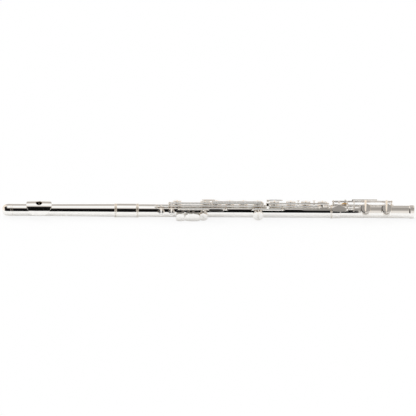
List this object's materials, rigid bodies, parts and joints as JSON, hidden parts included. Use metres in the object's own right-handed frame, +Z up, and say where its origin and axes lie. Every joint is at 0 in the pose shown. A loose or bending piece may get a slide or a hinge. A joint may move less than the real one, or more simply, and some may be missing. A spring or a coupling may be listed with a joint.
{
  "type": "alto flute",
  "caption": "Silver-plated alto flute lying keys up: straight head with lip plate, barrel, body with closed-hole keys on rods, and foot joint with rollers.",
  "frame": {"origin": "under the middle of the flute's bounding box, on the surface that it lies on", "axes": "+X along the bore from the crown to the foot, +Z up as the flute lies on a table with its keys up, -Y towards the player"},
  "size_m": [0.87, 0.0486, 0.0431],
  "materials": {
    "silver": "mirror-polished silver plate",
    "steel": "ground steel",
    "pad_skin": "thin matt skin over felt",
    "cork": "matt cork",
    "brass": "turned brass"
  },
  "bodies": {
    "body": {"barrel": "silver", "body_tube": "silver", "main_rib_with_posts": "silver", "thumb_rib_with_posts": "silver", "g_sharp_rib_with_posts": "silver", "main_rod_upper": "steel", "main_rod_lower": "steel", "g_sharp_rod": "steel"},
    "head": {"head_tube": "silver", "embouchure_riser": "silver", "lip_plate": "silver"},
    "crown_cap": {"crown": "silver"},
    "stopper": {"stopper_screw": "brass", "stopper_cork": "cork", "stopper_plate": "brass"},
    "foot": {"foot_tube": "silver", "foot_rib_with_posts": "silver", "foot_rod": "steel"},
    "trill_d_sharp": {"trill_d_sharp_key": "silver", "trill_d_sharp_pad": "pad_skin"},
    "trill_d": {"trill_d_key": "silver", "trill_d_pad": "pad_skin"},
    "c_sharp": {"c_sharp_key": "silver", "c_sharp_pad": "pad_skin"},
    "c": {"c_key": "silver", "c_pad": "pad_skin"},
    "b_flat": {"b_flat_key": "silver", "b_flat_pad": "pad_skin"},
    "a": {"a_key": "silver", "a_pad": "pad_skin"},
    "g": {"g_key": "silver", "g_pad": "pad_skin", "low_g_pad": "pad_skin"},
    "thumb_b": {"thumb_b_key": "silver", "thumb_b_pad": "pad_skin"},
    "thumb_b_flat": {"thumb_b_flat_key": "silver"},
    "g_sharp": {"g_sharp_key": "silver", "g_sharp_pad": "pad_skin"},
    "f_sharp": {"f_sharp_key": "silver", "f_sharp_pad": "pad_skin"},
    "f": {"f_key": "silver", "f_pad": "pad_skin"},
    "e": {"e_key": "silver", "e_pad": "pad_skin"},
    "d": {"d_key": "silver", "d_pad": "pad_skin"},
    "e_flat": {"e_flat_key": "silver", "e_flat_pad": "pad_skin"},
    "low_c_sharp": {"low_c_sharp_key": "silver", "low_c_sharp_pad": "pad_skin"},
    "low_c": {"low_c_key": "silver", "low_c_pad": "pad_skin"},
    "roller_c_sharp": {"low_c_sharp_roller": "silver"},
    "roller_c": {"low_c_roller": "silver"}
  },
  "joints": [
    {"name": "head_tuning", "type": "slide", "parent": "body", "child": "head", "axis": [1, 0, 0], "range_m": [-0.015, 0.0045]},
    {"name": "crown_turn", "type": "hinge", "parent": "head", "child": "crown_cap", "pos_m": [-0.435, 0.00042, 0.01511], "axis": [1, 0, 0], "range_deg": [-720, 720]},
    {"name": "stopper_slide", "type": "slide", "parent": "head", "child": "stopper", "axis": [1, 0, 0], "range_m": [-0.0016, 0.0016]},
    {"name": "foot_turn", "type": "hinge", "parent": "body", "child": "foot", "pos_m": [0.277, 0.00042, 0.01511], "axis": [1, 0, 0], "range_deg": [-20, 20]},
    {"name": "c_sharp_press", "type": "hinge", "parent": "body", "child": "c_sharp", "pos_m": [0, -0.00736, 0.03697], "axis": [-1, 0, 0], "range_deg": [0, 8], "stiffness_Nm_per_rad": 0.02, "springref_deg": -28.65},
    {"name": "c_press", "type": "hinge", "parent": "body", "child": "c", "pos_m": [0, -0.00736, 0.03697], "axis": [-1, 0, 0], "range_deg": [0, 8], "stiffness_Nm_per_rad": 0.02, "springref_deg": -28.65},
    {"name": "b_flat_press", "type": "hinge", "parent": "body", "child": "b_flat", "pos_m": [0, -0.00736, 0.03697], "axis": [-1, 0, 0], "range_deg": [0, 8], "stiffness_Nm_per_rad": 0.02, "springref_deg": -28.65},
    {"name": "a_press", "type": "hinge", "parent": "body", "child": "a", "pos_m": [0, -0.00736, 0.03697], "axis": [-1, 0, 0], "range_deg": [0, 8], "stiffness_Nm_per_rad": 0.02, "springref_deg": -28.65},
    {"name": "g_press", "type": "hinge", "parent": "body", "child": "g", "pos_m": [0, -0.00736, 0.03697], "axis": [-1, 0, 0], "range_deg": [0, 8], "stiffness_Nm_per_rad": 0.02, "springref_deg": -28.65},
    {"name": "f_sharp_press", "type": "hinge", "parent": "body", "child": "f_sharp", "pos_m": [0, -0.00736, 0.03697], "axis": [-1, 0, 0], "range_deg": [0, 8], "stiffness_Nm_per_rad": 0.02, "springref_deg": -28.65},
    {"name": "f_press", "type": "hinge", "parent": "body", "child": "f", "pos_m": [0, -0.00736, 0.03697], "axis": [-1, 0, 0], "range_deg": [0, 8], "stiffness_Nm_per_rad": 0.02, "springref_deg": -28.65},
    {"name": "e_press", "type": "hinge", "parent": "body", "child": "e", "pos_m": [0, -0.00736, 0.03697], "axis": [-1, 0, 0], "range_deg": [0, 8], "stiffness_Nm_per_rad": 0.02, "springref_deg": -28.65},
    {"name": "d_press", "type": "hinge", "parent": "body", "child": "d", "pos_m": [0, -0.00736, 0.03697], "axis": [-1, 0, 0], "range_deg": [0, 8], "stiffness_Nm_per_rad": 0.02, "springref_deg": -28.65},
    {"name": "trill_d_sharp_press", "type": "hinge", "parent": "body", "child": "trill_d_sharp", "pos_m": [0, -0.00905, 0.03159], "axis": [-1, 0, 0], "range_deg": [0, 8], "stiffness_Nm_per_rad": 0.02, "springref_deg": -28.65},
    {"name": "trill_d_press", "type": "hinge", "parent": "body", "child": "trill_d", "pos_m": [0, -0.00905, 0.03159], "axis": [-1, 0, 0], "range_deg": [0, 8], "stiffness_Nm_per_rad": 0.02, "springref_deg": -28.65},
    {"name": "thumb_b_press", "type": "hinge", "parent": "body", "child": "thumb_b", "pos_m": [0, -0.01484, 0.02725], "axis": [1, 0, 0], "range_deg": [0, 5], "stiffness_Nm_per_rad": 0.02, "springref_deg": -28.65},
    {"name": "thumb_b_flat_press", "type": "hinge", "parent": "body", "child": "thumb_b_flat", "pos_m": [0, -0.01484, 0.02725], "axis": [1, 0, 0], "range_deg": [0, 5], "stiffness_Nm_per_rad": 0.02, "springref_deg": -28.65},
    {"name": "g_sharp_press", "type": "hinge", "parent": "body", "child": "g_sharp", "pos_m": [0, -0.01484, 0.02725], "axis": [-1, 0, 0], "range_deg": [0, 8], "stiffness_Nm_per_rad": 0.02, "springref_deg": -28.65},
    {"name": "e_flat_press", "type": "hinge", "parent": "foot", "child": "e_flat", "pos_m": [0, 0.00843, 0.03464], "axis": [1, 0, 0], "range_deg": [0, 8], "stiffness_Nm_per_rad": 0.02, "springref_deg": -28.65},
    {"name": "low_c_sharp_press", "type": "hinge", "parent": "foot", "child": "low_c_sharp", "pos_m": [0, 0.00843, 0.03464], "axis": [1, 0, 0], "range_deg": [0, 8], "stiffness_Nm_per_rad": 0.02, "springref_deg": -28.65},
    {"name": "low_c_press", "type": "hinge", "parent": "foot", "child": "low_c", "pos_m": [0, 0.00843, 0.03464], "axis": [1, 0, 0], "range_deg": [0, 8], "stiffness_Nm_per_rad": 0.02, "springref_deg": -28.65},
    {"name": "roller_c_sharp_spin", "type": "hinge", "parent": "low_c_sharp", "child": "roller_c_sharp", "pos_m": [0.30153, -0.01476, 0.03486], "axis": [1, 0, 0], "continuous": true},
    {"name": "roller_c_spin", "type": "hinge", "parent": "low_c", "child": "roller_c", "pos_m": [0.30153, -0.01884, 0.03128], "axis": [1, 0, 0], "continuous": true}
  ],
  "couplings": [
    {"joint": "stopper_slide", "follows": "crown_turn", "m_per_rad": 0.000127},
    {"joint": "c_sharp_press", "follows": "c_press", "ratio": 1},
    {"joint": "b_flat_press", "follows": "a_press", "ratio": 1},
    {"joint": "f_sharp_press", "follows": "f_press", "ratio": 1}
  ]
}
